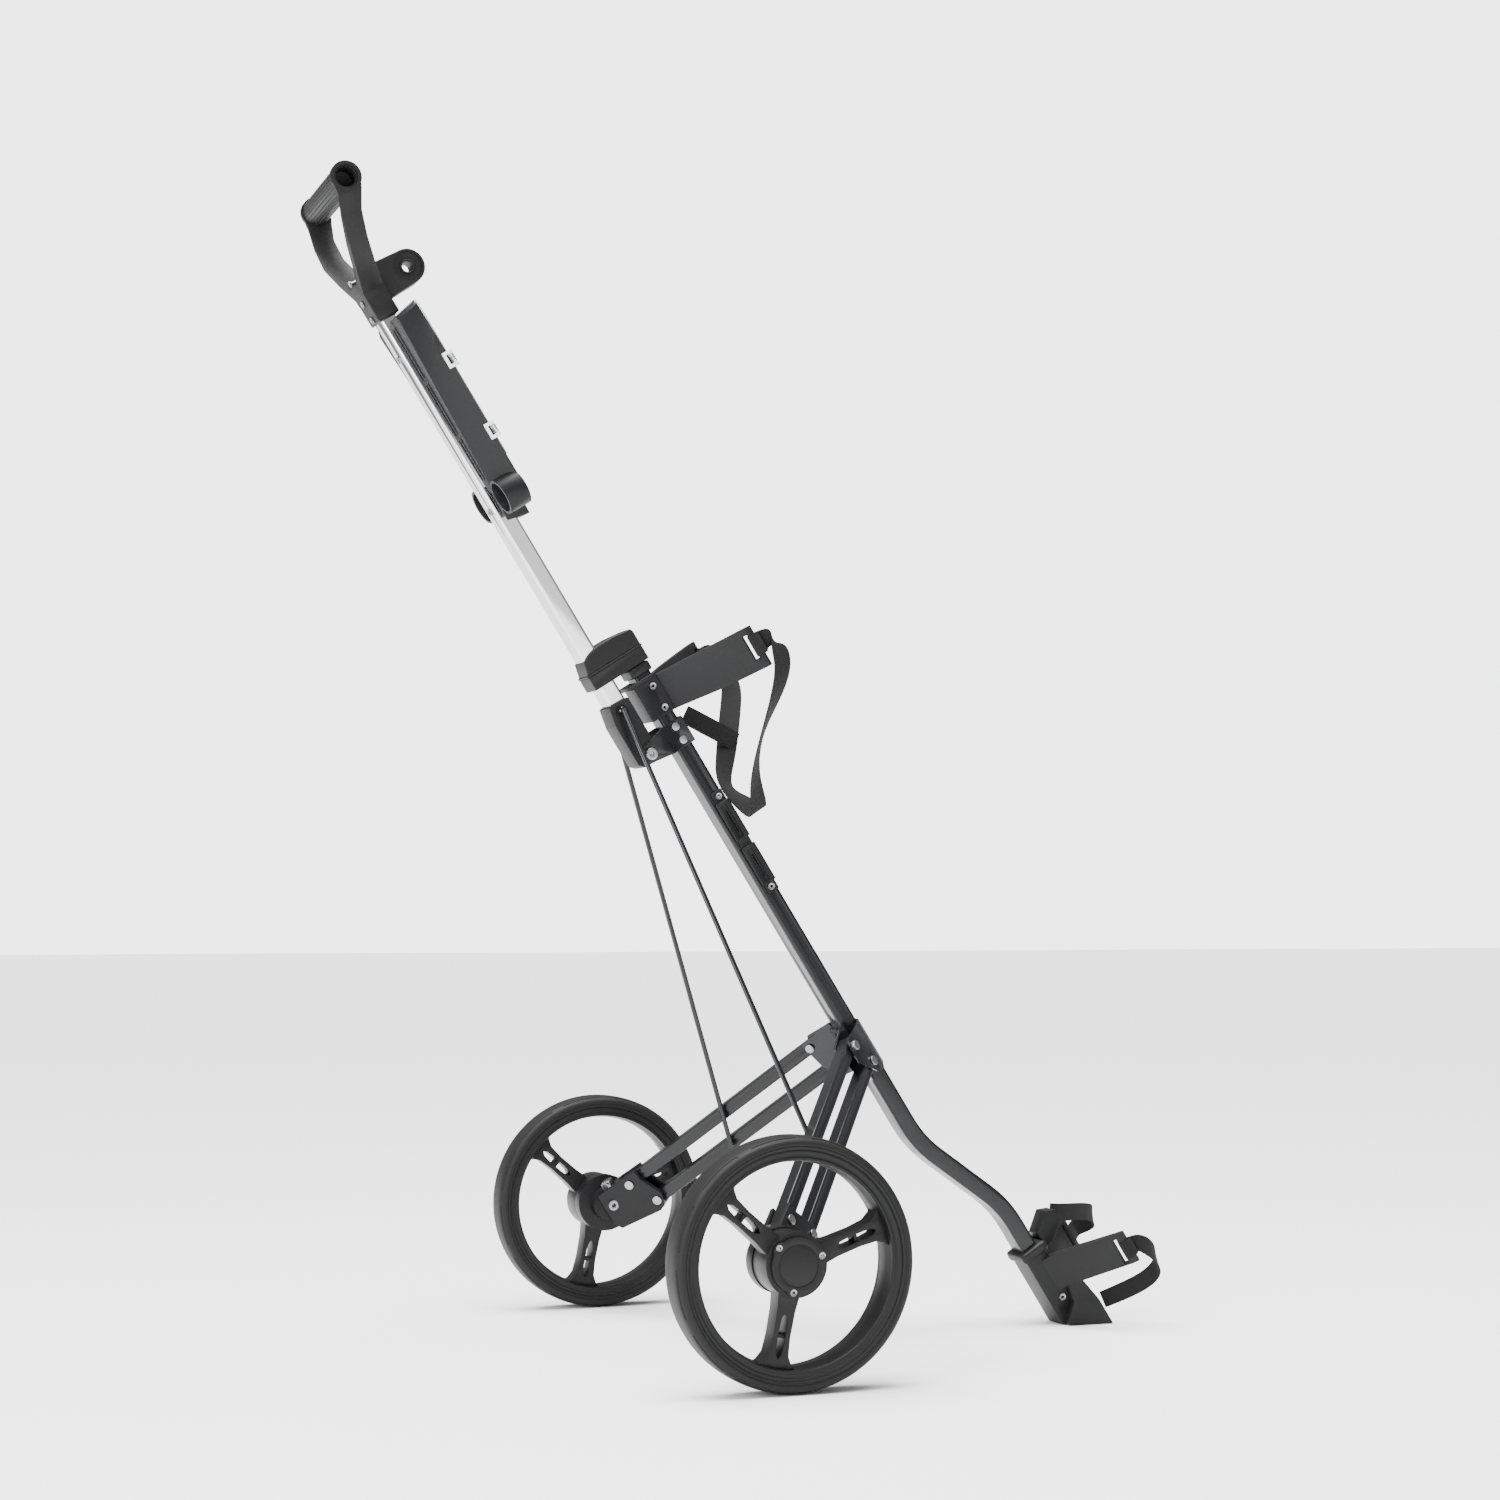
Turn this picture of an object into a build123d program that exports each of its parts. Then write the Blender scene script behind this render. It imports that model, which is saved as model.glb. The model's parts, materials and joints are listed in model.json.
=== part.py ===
from build123d import *
import os

# Folding two-wheel golf push cart: a bent frame tube that rests on its foot, a handle tube that
# folds under it, two parallel-link legs with wheels, and a pair of cradles for the bag.
# Millimetres, ground at z = 0, +X toward the bag foot, right-hand side at -Y.

AXLE_X = -69.0               # wheel centres, along the cart
WHEEL_RADIUS = 125.0
TRACK_HALF = 318.0           # wheel centre plane from the middle of the cart
STEM_ANGLE = 57.6            # lean of the frame tube from the ground
STEM_ZERO = (AXLE_X - 11.74, 0, 662.29)
TUBE_DEEP, TUBE_WIDE, TUBE_WALL = 20.0, 30.0, 1.5
TUBE_CORNER = 3.5
HANDLE_OUT = -41.0           # handle tube centre below the frame tube centre
PIVOT = (0.0, HANDLE_OUT)
LEG_TUBE, LEG_WALL = 15.0, 1.2
LEG_SPAN = (57.7, -288.0)    # hub pin to wheel bracket pin, in the leg plane
LINK_STEP = (30.5, 21.4)     # upper link pin to lower link pin, in the leg plane
LINK_HUB = (388.2, -29.8, 50.19)
PIN_RADIUS, PIN_FIT, OPEN_FIT = 3.0, 0.05, 0.4
LINK_SWING = 13.2            # radius kept clear for the link ends as they turn on their pins
ROD_RADIUS = 2.8
ROD_TOP = (-57.0, -41.5, 21.2)
ROD_ALONG = 0.585            # where the stay rod meets the lower link
AXLE_RADIUS, AXLE_FIT = 6.0, 0.05
RIM_RADIUS, RIM_INNER, RIM_HALF = 111.5, 101.5, 20.0
GRIP_AXIS, GRIP_RADIUS, GRIP_HALF = (-686.5, -23.4), 15.0, 73.0
SCREW_RADIUS = 2.0

# Drawing planes. STEM: x down the frame tube, y away from it toward the bag, z to the right.
# LEG: x down the frame tube, y toward the hub, z square to the plane the leg folds in.
STEM = Plane(origin=STEM_ZERO, z_dir=(0, -1, 0),
             x_dir=Vector(1, 0, 0).rotate(Axis.Y, STEM_ANGLE))
LEG = Plane(origin=LINK_HUB, x_dir=(1, 0, 0), z_dir=(0, 0.664, 0.748))
WHEEL = Plane(origin=(AXLE_X, -TRACK_HALF, WHEEL_RADIUS), x_dir=(1, 0, 0), z_dir=(0, -1, 0))
ACROSS = Plane(origin=(0, 0, 0), x_dir=(0, 1, 0), z_dir=(1, 0, 0))
ABOVE = Plane(origin=(0, 0, 0), x_dir=(1, 0, 0), z_dir=(0, -1, 0))

parts = {}


def slab(points, low, high):
    face = make_face(Polyline(*points, close=True))
    return Pos(0, 0, low) * extrude(face, high - low, dir=(0, 0, 1))


def block(x, y, z, soft=0):
    middle = [(a + b) / 2 for a, b in (x, y, z)]
    body = Pos(*middle) * Box(x[1] - x[0], y[1] - y[0], z[1] - z[0])
    return fillet(body.edges(), soft) if soft else body


def bar(start, end, radius):
    run = Vector(*end) - Vector(*start)
    where = Plane(origin=start, z_dir=run)
    return where * Cylinder(radius, run.length, align=(Align.CENTER, Align.CENTER, Align.MIN))


def disc(x, y, radius, low, high):
    return bar((x, y, low), (x, y, high), radius)


def screw(x, y, top, deep, head=3.6, tall=1.6):
    """Round-head screw along z; top is the face it sits on, deep is where the shank stops."""
    side = 1 if top > deep else -1
    low, high = sorted((top, top + side * tall))
    dome = disc(x, y, head, low, high)
    return dome + disc(x, y, SCREW_RADIUS, min(deep, top), max(deep, top))


def both(shape):
    return shape + mirror(shape, about=Plane.XY)


def stem_part(name, shape):
    parts[name] = STEM * shape


def side_parts(name, shape):
    """Right-hand piece as drawn, left-hand piece mirrored."""
    parts["right_" + name] = shape
    parts["left_" + name] = mirror(shape, about=Plane.XZ)


# ---- frame tube: one bent tube from the top plug down to the foot, drilled for its fasteners
tube_line = FilletPolyline((-78, 0), (535, 0), (655, 49.6), (806, 49.6), radius=130)
tube_start = Plane(origin=(-78, 0, 0), x_dir=(0, 1, 0), z_dir=(1, 0, 0))


def tube_run(deep, wide, corner):
    outline = tube_start * RectangleRounded(deep, wide, corner)
    return sweep(outline, path=tube_line)


frame_tube = tube_run(TUBE_DEEP, TUBE_WIDE, TUBE_CORNER)
frame_tube -= tube_run(TUBE_DEEP - 2 * TUBE_WALL, TUBE_WIDE - 2 * TUBE_WALL, 2)
U_RIVETS = ((-10, 1), (6.6, 1))
HUB_RIVETS = (387.0, 433.0)
BAG_SCREWS = ((-61.3, 2), (-34.7, 1.6))
TEE_SCREWS = ((80.5, 3), (197, 2.4))
for s, out in U_RIVETS:
    frame_tube -= disc(s, out, 2.5, -16, 16)
for s in HUB_RIVETS:
    frame_tube -= bar((s, -20, 0), (s, 20, 0), 2.5)
for s, out in BAG_SCREWS + TEE_SCREWS:
    frame_tube -= disc(s, out, SCREW_RADIUS, 12, 16)
frame_tube -= disc(780, 52, SCREW_RADIUS, -16, -12) + disc(780, 52, SCREW_RADIUS, 12, 16)
stem_part("lower_tube", frame_tube)

plug = block((-89, -78), (-13, 13), (-17, 17), 2)
plug += block((-78.5, -65), (-7.9, 7.9), (-12.9, 12.9))
stem_part("tube_top_plug", plug)

# ---- upper bag bracket: sleeve on the tube, ledge above it and two wings for the bag
sleeve = block((-72, -27), (-18, 12), (-18, 18), 1.5)
sleeve += block((-74, -69), (-23, 12), (-20, 20), 1.2)
wing_line = [(9, 14), (12, 20), (30, 37), (62, 65.5), (98, 93), (104, 95), (108, 91), (106, 86),
             (68, 57), (33, 28), (14, 9), (9, 6)]
wing = ACROSS * slab(wing_line, -74, -16)
wing &= slab([(-70, 0), (-70, 40), (-68, 120), (-19, 120), (-22, 60), (-27, 14), (-27, 0)], -5, 100)
pocket = ACROSS * slab([(47, 62), (88, 92), (94, 84), (53, 53)], -62, -31)
rib_left = ACROSS * slab([(44, 53), (95, 91), (92, 95), (41, 57)], -62, -31)
wing -= pocket & rib_left
BAG_SLOT = [(91.5, 104), (86.5, 100.5), (101.5, 76), (106.5, 79.5)]
wing -= ACROSS * slab(BAG_SLOT, -61, -32)
bag_bracket = sleeve + both(wing) - block((-72.5, -26), (-10, 10), (-15, 15))
bag_bracket -= block((-75, -72), (-13.5, 13.5), (-17.5, 17.5))
for s, out in BAG_SCREWS:
    bag_bracket -= disc(s, out, SCREW_RADIUS, 14, 19)
stem_part("bag_bracket", bag_bracket)
stem_part("bag_bracket_screws", Compound([screw(s, out, 18, 12) for s, out in BAG_SCREWS]))

# ---- folding joint: steel U over the frame tube, its rivets, bolt and washers
plates = [(-10.5, 15), (12, 15), (12, 0), (13.8, 0), (13.8, 16.8), (-11, 16.8), (-17, 20.2),
          (-52, 20.2), (-52, 18.4), (-16.5, 18.4)]
u_shape = both(ACROSS * slab(plates, -20, 20))
u_side = slab([(-17, 14), (14, 14), (14, -16), (10, -41), (-10, -41), (-17, -16)], -30, 30)
u_side += disc(*PIVOT, 10.2, -30, 30)
u_bracket = u_shape & u_side
u_bracket -= block((-18, 15), (10, 12), (-15, 15))
u_bracket -= disc(*PIVOT, 4, -30, 30)
for s, out in U_RIVETS:
    u_bracket -= disc(s, out, 2.5, -20, 20)
u_bracket = fillet(u_bracket.edges().filter_by(Axis.X).group_by(Axis.Y)[-1], 1.2)
stem_part("u_bracket", u_bracket)


def u_rivet(s, out):
    return disc(s, out, 2.5, -19, 19) + both(disc(s, out, 4.4, 16.8, 19))


stem_part("u_bracket_rivets", Compound([u_rivet(s, out) for s, out in U_RIVETS]))
bolt = disc(*PIVOT, 4, -26, 22.4) + disc(*PIVOT, 6.5, 22.4, 28) + disc(*PIVOT, 6.5, -27.5, -22.4)
bolt -= Pos(0, PIVOT[1], 24.5) * extrude(RegularPolygon(2.9, 6), 5)
stem_part("pivot_bolt", bolt)
washer = disc(*PIVOT, 8.5, 20.2, 22.4) - disc(*PIVOT, 4, 20, 23)
stem_part("pivot_washers", Compound([washer, mirror(washer, about=Plane.XY)]))

# ---- tee holder: strip with two raised stepped loops on the right of the tube
tee = block((74, 203), (-4, 10), (15, 17.2), 0.8)
for start in (87, 144):
    loop = block((start, start + 48), (-6, 11.5), (16, 19.5), 1.2)
    tee += loop
for start in (90, 147):
    tee -= block((start + 1, start + 42), (-2, 5), (17.2, 21))
    tee -= block((start + 8, start + 36), (1, 3), (14, 21))
for s, out in TEE_SCREWS:
    tee -= disc(s, out, SCREW_RADIUS, 14, 20)
stem_part("tee_holder", tee)
stem_part("tee_holder_screws", Compound([screw(s, out, 17.2, 12) for s, out in TEE_SCREWS]))

# ---- hub brackets: two folded sheets clamping the frame tube, with a cheek each side of a leg
cheek_up = [(-14, 36.2), (46, 36.2), (45, 22), (19, -6), (0, -8), (-10, -3)]
cheek_down = [(-7, -7), (-18, 34), (-10, 38), (45, 38), (45, 22), (26, 2)]
top_bend = [(12, 0), (12, 15.4), (4.6, 30.5), (2, 34.2), (-1, 33.5), (2.8, 29.6), (10, 14.7), (10, 0)]
low_bend = [(-10, 0), (-10, 18), (-8.5, 20.6), (-12, 22.4), (-12.3, 20.6), (-12, 18), (-12, 0)]


def cheeks(points, low, high):
    plate = LEG * slab(points, low, high)
    for pin in ((0, 0), LINK_STEP):
        plate -= LEG * disc(*pin, PIN_RADIUS, low - 1, high + 1)
    return plate


outer = both(ACROSS * slab(top_bend, 377, 434) + cheeks(cheek_up, 8, 10))
outer -= bar((387, 0, 0), (387, 20, 0), 2.5) + bar((433, 0, 0), (433, 20, 0), 2.5)
for pin in ((0, 0), LINK_STEP):
    outer -= both(LEG * disc(*pin, LINK_SWING, -7.9, 7.9))
stem_part("hub_bracket_outer", outer)
inner = both(ACROSS * slab(low_bend, 377, 443) + cheeks(cheek_down, -10, -8))
inner -= bar((387, 0, 0), (387, -20, 0), 2.5) + bar((433, 0, 0), (433, -20, 0), 2.5)
stem_part("hub_bracket_inner", inner)


def hub_rivet(s):
    head = bar((s, 12, 0), (s, 14, 0), 4.5) + bar((s, -12, 0), (s, -14, 0), 4.5)
    return bar((s, -14, 0), (s, 14, 0), 2.5) + head


stem_part("hub_rivets", Compound([hub_rivet(s) for s in HUB_RIVETS]))


def leg_pin(pin, out, back):
    shank = LEG * disc(*pin, PIN_RADIUS, -back, out)
    return shank + LEG * disc(*pin, 5.5, 10, out) + LEG * disc(*pin, 5, -back, -10)


pins = [leg_pin((0, 0), 15, 12), leg_pin(LINK_STEP, 12, 12)]
stem_part("leg_pins", Compound(pins + [mirror(pin, about=Plane.XY) for pin in pins]))

# ---- base bracket: socket on the tube end, small cradle wings and the foot that meets the floor
socket = block((720, 820), (36, 64), (-19, 19), 2.5)
socket += block((712, 724), (33, 68), (-22, 22), 4)
foot = slab([(771, 62), (771, 80), (806, 86), (838, 86), (838, 40), (806, 40), (790, 58)], -28, 28)
base_wing_line = [(52, 19), (86, 44), (128, 76), (133, 77), (136, 73), (92, 35), (66, 14), (60, 14)]
base_wing = ACROSS * slab(base_wing_line, 728, 782)
base_wing &= slab([(731, 40), (731, 64), (740, 137), (779, 137), (771, 64), (771, 40)], -5, 90)
BASE_SLOT = [(117, 80), (113, 76), (128, 58), (132, 62)]
base_wing -= ACROSS * slab(BASE_SLOT, 744, 775)
panel = ACROSS * slab([(70, 40), (106, 68), (112, 60), (76, 32)], 743, 770)
base_wing -= panel & (ACROSS * slab([(66, 34), (110, 67), (104, 75), (60, 42)], 740, 775))
base = socket + foot + both(base_wing)
base -= block((776, 804), (63.9, 81), (-16, 16))
base -= block((711, 806.2), (39.6, 59.6), (-15, 15))
base -= both(disc(780, 52, SCREW_RADIUS, 14, 20))
base -= both(block((786, 800), (42, 58), (17.5, 20)))
base_world = STEM * base
base_world &= Pos(0, 0, 250) * Box(2000, 400, 500)
parts["base_bracket"] = base_world
base_screw = screw(780, 52, 19, 12)
stem_part("base_screws", Compound([base_screw, mirror(base_screw, about=Plane.XY)]))

# ---- handle: straight tube with the folding block at its foot
handle_run = ACROSS * (Pos(HANDLE_OUT, 0, -560) * extrude(
    RectangleRounded(TUBE_DEEP, TUBE_WIDE, TUBE_CORNER), 552, dir=(0, 0, 1)))
handle_bore = ACROSS * (Pos(HANDLE_OUT, 0, -561) * extrude(
    RectangleRounded(TUBE_DEEP - 2 * TUBE_WALL, TUBE_WIDE - 2 * TUBE_WALL, 2), 554, dir=(0, 0, 1)))
FORK_SCREWS = (-594.7, -569.8, -550.5)
TRAY_SCREWS = (-500.7, -312.4)
handle_tube = handle_run - handle_bore
for s in (-550.5,) + TRAY_SCREWS:
    handle_tube -= bar((s, -52, 0), (s, -48, 0), SCREW_RADIUS)
stem_part("handle_tube", handle_tube)

fold_block = slab([(-67, -53.5), (-45, -58), (4, -58), (10, -52), (10, -40), (-6, -29),
                   (-66, -29)], -18, 18)
fold_block = fillet(fold_block.edges().filter_by(Axis.Z), 1.5)
rod_groove = bar((-57, -41.5, 17), (-57, -41.5, 20), 6) + slab(
    [(-57, -35.5), (-57, -47.5), (-14, -56), (-14, -48)], 17, 20)
fold_block -= both(rod_groove) + both(bar((-57, -41.5, 14), (-57, -41.5, 20), 3.3))
hook_room = bar((-57, -43.5, 15.3), (-57, -43.5, 20), 6.5)   # the rod hook's pocket over the fold
fold_block -= both(hook_room)
fold_block -= handle_run + disc(*PIVOT, 4 + PIN_FIT, -30, 30)
stem_part("rod_block", fold_block)

# ---- handle fork: socket over the tube, two curved arms out to the ends of the grip
arm_plan = [(-545, 0), (-560, 18), (-578, 19), (-603, 44), (-625, 63), (-650, 73), (-672, 78.5),
            (-688, 80), (-704, 79), (-704, 73.3), (-667, 73.3), (-650, 66), (-628, 53), (-606, 34),
            (-590, 15), (-590, 0)]
arm_side = [(-570, -54), (-600, -54), (-628, -53), (-652, -48), (-673, -41), (-688, -39), (-688, -8),
            (-672, -13), (-650, -25), (-625, -31), (-600, -31), (-570, -28)]
arm = (ABOVE * slab(arm_plan, -20, 60)) & slab(arm_side, 8, 90)
arm -= (ABOVE * slab([(-600, 45), (-622, 63.5), (-648, 74), (-668, 79), (-668, 83), (-600, 83)], 0, 60)
        ) & slab([(-600, -51), (-628, -49), (-652, -44), (-668, -39), (-668, -17), (-650, -28),
                  (-625, -34), (-600, -34)], 20, 90)
arm += bar((*GRIP_AXIS, GRIP_HALF + 0.3), (*GRIP_AXIS, 80), 16.5)
fork = block((-577, -545), (-54, -28), (-18, 18), 1.5) + both(arm)
fork += block((-592, -574), (-54, -29), (-18, 18), 1.5)
fork -= block((-560, -540), (-51, -31), (-15, 15))
for s in FORK_SCREWS:
    fork -= bar((s, -60, 0), (s, -45, 0), SCREW_RADIUS)
fork -= both(bar((*GRIP_AXIS, 72), (*GRIP_AXIS, 81), 12.5))
stem_part("handle_fork", fork)
grip = bar((*GRIP_AXIS, -GRIP_HALF), (*GRIP_AXIS, GRIP_HALF), GRIP_RADIUS)
grip += bar((*GRIP_AXIS, -78), (*GRIP_AXIS, 78), 12.5)
stem_part("grip", grip - bar((*GRIP_AXIS, -79), (*GRIP_AXIS, 79), 10.5))

# ---- umbrella mount: rounded lug standing on the fork with a ringed cross bore
lug = slab([(-603, -28), (-601, 7), (-563, 7), (-561, -28)], -13, 13) + disc(-582, 7, 19, -13, 13)
lug = fillet(lug.edges().group_by(Axis.Z)[0] + lug.edges().group_by(Axis.Z)[-1], 1.5)
lug -= both(disc(-582, 7, 16, 10, 14)) + disc(-582, 7, 8, -14, 14)
stem_part("umbrella_mount", lug)
insert = disc(-582, 7, 8, -12, 12) - disc(-582, 7, 6, -13, 13)
stem_part("umbrella_insert", insert)


def under_screw(s, face, deep, head):
    return bar((s, face, 0), (s, face - 1.8, 0), head) + bar((s, face, 0), (s, deep, 0), SCREW_RADIUS)


stem_part("handle_screws", Compound([under_screw(s, -54, -46, 3.8) for s in FORK_SCREWS]))

# ---- scorecard console: tapered tray saddled on the handle tube with two ball cups at its nose
pocket_top = [(-541, 41), (-538, 46), (-504, 48), (-338, 48), (-330, 20), (-330, 0)]
pocket_floor = [(-538, 38), (-535, 43.5), (-487, 42), (-344, 36), (-334, 18), (-334, 0)]


def tray_shell(top, bottom, high, low):
    upper = Pos(0, high, 0) * (ABOVE * make_face(Polyline(*top, close=True)))
    lower = Pos(0, low, 0) * (ABOVE * make_face(Polyline(*bottom, close=True)))
    return loft([lower, upper])


rim_ring = [(-545, 43), (-541, 50), (-504, 52), (-336, 52), (-304, 20), (-291, 18), (-291, 0)]
low_ring = [(-540, 40), (-534, 46), (-461, 36), (-341, 24), (-310, 18), (-296, 16), (-296, 0)]


def closed(ring):
    return ring + [(s, -right) for s, right in reversed(ring[:-1])]


tray = tray_shell(closed(rim_ring), closed(low_ring), -18, -43)
tray -= tray_shell(closed(pocket_top), closed(pocket_floor), -17, -28)
cup = bar((-321, -44, 38), (-321, -18, 38), 20)
cup_bore = bar((-321, -45, 38), (-321, -17, 38), 17)
tray = tray + both(cup) - both(cup_bore)
tray -= block((-560, -280), (-51, -31), (-15, 15))
for low, high in ((-532, -470), (-464, -402), (-396, -346)):
    tray -= both(block((low, high), (-45, -31), (17.5, 22)))
tray -= block((-547, -538), (-26, -17), (-30, 30))
for s in TRAY_SCREWS:
    tray -= bar((s, -32, 0), (s, -30, 0), SCREW_RADIUS)
stem_part("scorecard_tray", tray)
tray_screws = [under_screw(s, -51, -46, 3.8) for s in TRAY_SCREWS]
stem_part("tray_screws", Compound(tray_screws))

cover = block((-546, -357), (-17.7, -15.7), (-51, 48.6))
cover = fillet(cover.edges().filter_by(Axis.Y), 4)
for s in (-473, -387):
    cover += block((s - 5, s + 5), (-16.9, -15.7), (46, 51.5))
    cover += bar((s - 5, -14.5, 51.5), (s + 5, -14.5, 51.5), 2.4)
    cover -= bar((s - 6, -14.5, 51.5), (s + 6, -14.5, 51.5), 1.05)
stem_part("scorecard_cover", cover)


def hinge_clip(s):
    pin = bar((s - 9, -14.5, 51.5), (s + 9, -14.5, 51.5), 1)
    ears = block((s - 9, s - 5.5), (-24, -12), (52.2, 54.4)) + block((s + 5.5, s + 9), (-24, -12), (52.2, 54.4))
    ears += bar((s - 9, -14.5, 51.5), (s - 5.5, -14.5, 51.5), 2.4)
    ears += bar((s + 5.5, -14.5, 51.5), (s + 9, -14.5, 51.5), 2.4)
    return ears + pin + block((s - 9, s + 9), (-24, -21), (52.2, 54.4))


stem_part("cover_clips", Compound([hinge_clip(s) for s in (-473, -387)]))

# ---- sliding latch on the handle tube: collar and hood, locking over the top plug
tube_gap = ACROSS * (Pos(HANDLE_OUT, 0, -200) * extrude(
    RectangleRounded(TUBE_DEEP + 0.2, TUBE_WIDE + 0.2, TUBE_CORNER + 0.1), 150, dir=(0, 0, 1)))
collar = block((-105.5, -89.6), (-56, 15), (-17.8, 17.8), 1)
collar += block((-108, -105.5), (-57, 16), (-18, 18), 1)
stem_part("latch_collar", collar - tube_gap)
hood = slab([(-108, -55.5), (-123, -52), (-127.5, -42), (-130.6, -30), (-130.4, -10), (-127.6, 13),
             (-124, 15), (-108, 15)], -18, 18)
hood = fillet(hood.edges().group_by(Axis.Z)[0] + hood.edges().group_by(Axis.Z)[-1], 2)
stem_part("latch_hood", hood - tube_gap)

# ---- legs: two parallel square links on each side, with end plugs
SPAN = Vector(LEG_SPAN[0], LEG_SPAN[1], 0)
REACH = SPAN.normalized() * 10
HAND = Plane(origin=(0, 0, 0), x_dir=SPAN, z_dir=(0, 0, 1))


def link(start, length_beyond=10):
    half = LEG_TUBE / 2
    length = SPAN.length
    tube = block((-length_beyond, length + length_beyond), (-half, half), (-half, half))
    tube = fillet(tube.edges().filter_by(Axis.X), 1.5)
    thin = half - LEG_WALL
    plugged = (4 - length_beyond, length + length_beyond - 4)
    tube -= block(plugged, (-thin, thin), (-thin, thin))
    return Pos(*start, 0) * (HAND * tube)


def link_holes(start, top_fit, foot_fit):
    foot = (start[0] + LEG_SPAN[0], start[1] + LEG_SPAN[1])
    return disc(*start, PIN_RADIUS + top_fit, -9, 9) + disc(*foot, PIN_RADIUS + foot_fit, -9, 9)


def in_leg(shape):
    return STEM * (LEG * shape)


upper_link = link((0, 0)) - link_holes((0, 0), PIN_FIT, PIN_FIT)
side_parts("leg_upper", in_leg(upper_link))
ROD_FOOT = (LINK_STEP[0] + ROD_ALONG * LEG_SPAN[0], LINK_STEP[1] + ROD_ALONG * LEG_SPAN[1], -12.0)
lower_link = link(LINK_STEP) - link_holes(LINK_STEP, PIN_FIT, OPEN_FIT)
lower_link -= disc(ROD_FOOT[0], ROD_FOOT[1], ROD_RADIUS + PIN_FIT, -9, 0)
side_parts("leg_lower", in_leg(lower_link))

# ---- stay rods: straight wire, one end hooked into the folding block, the other into the link
rod_foot_stem = LEG.from_local_coords(Vector(*ROD_FOOT))
rod_in = LEG.from_local_coords(Vector(ROD_FOOT[0], ROD_FOOT[1], -3.0))
rod_out = LEG.from_local_coords(Vector(ROD_FOOT[0], ROD_FOOT[1], -14.0))
rod = bar(ROD_TOP, tuple(rod_foot_stem), ROD_RADIUS)
rod += bar((ROD_TOP[0], ROD_TOP[1], 15.6), (ROD_TOP[0], ROD_TOP[1], 22.6), ROD_RADIUS)
rod += bar(tuple(rod_in), tuple(rod_out), ROD_RADIUS)
side_parts("stay_rod", STEM * rod)

# ---- wheel brackets: a cheeked housing on the link feet and the boss that carries the axle
housing = slab([(-3, -45), (-13, 15), (0, 17), (25, 31), (40, 26), (44, 18), (45, -38), (37, -45)],
               -13, 13)
housing = fillet(housing.edges().group_by(Axis.Z)[0] + housing.edges().group_by(Axis.Z)[-1], 1.5)
housing -= block((-20, 60), (-13, 40), (-7.8, 7.8))
housing += block((42.5, 44.8), (-14, 6), (-10, 10))
FOOT = Pos(*LEG_SPAN, 0)
housing = in_leg(FOOT * housing)
boss = WHEEL * (disc(0, 0, 33, -36, -20.5) + disc(0, 0, 19, -54, -36))
axle_way = WHEEL * disc(0, 0, AXLE_RADIUS, -80, 40)
BUTTON = (-8, -31)
button_way = in_leg(FOOT * block((-14, 9), (-38, -24), (-6.2, 6.2)))
pin_way = in_leg(FOOT * (disc(0, 0, PIN_RADIUS, -20, 20) + disc(*LINK_STEP, PIN_RADIUS, -20, 20)))
link_way = in_leg(FOOT * block((-20, 42), (-12.9, 40), (-7.8, 7.8)))
bracket = housing + (boss - link_way) - axle_way - button_way - pin_way
side_parts("wheel_bracket", bracket)


def foot_pin(x, y):
    ends = both(disc(x, y, 5.4, 13, 14.6))
    return disc(x, y, PIN_RADIUS, -14.6, 14.6) + ends


foot_pins = [in_leg(FOOT * foot_pin(0, 0)), in_leg(FOOT * foot_pin(*LINK_STEP))]
parts["right_bracket_pins"] = Compound(foot_pins)
parts["left_bracket_pins"] = Compound([mirror(pin, about=Plane.XZ) for pin in foot_pins])
axle = WHEEL * (disc(0, 0, AXLE_RADIUS, -68, 16.5) - disc(0, 0, 2.5, -70, -60))
axle -= button_way
side_parts("axle", axle)
button = block((-12.5, -1.5), (-37, -25), (-6, 6), 1)
for step in (-34, -31, -28):
    button += block((-13.3, -10), (step - 0.8, step + 0.8), (-5, 5))
side_parts("release_button", in_leg(FOOT * button))

# ---- wheels: spoked rim, solid tyre, bushes, hub cap and its screws; local z points outboard
rim_section = [(RIM_INNER, -RIM_HALF), (RIM_RADIUS, -RIM_HALF), (RIM_RADIUS, -16.3), (105, -16.3),
               (105, 16.3), (RIM_RADIUS, 16.3), (RIM_RADIUS, RIM_HALF), (RIM_INNER, RIM_HALF),
               (RIM_INNER, 12), (99.5, 6), (99.5, -6), (RIM_INNER, -12)]
tyre_section = [(105, -16.3), (RIM_RADIUS, -16.3), (RIM_RADIUS, -20), (113, -22.3), (117, -22.5),
                (122, -20), (124, -16.5), (WHEEL_RADIUS, -10), (WHEEL_RADIUS, 10), (124, 16.5),
                (122, 20), (117, 22.5), (113, 22.3), (RIM_RADIUS, 20), (RIM_RADIUS, 16.3), (105, 16.3)]


def turned(section):
    return revolve(Plane.XZ * make_face(Polyline(*section, close=True)), Axis.Z)


def about_hub(shape, count=3, first=19):
    return [Rot(0, 0, first + 360 / count * step) * shape for step in range(count)]


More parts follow.
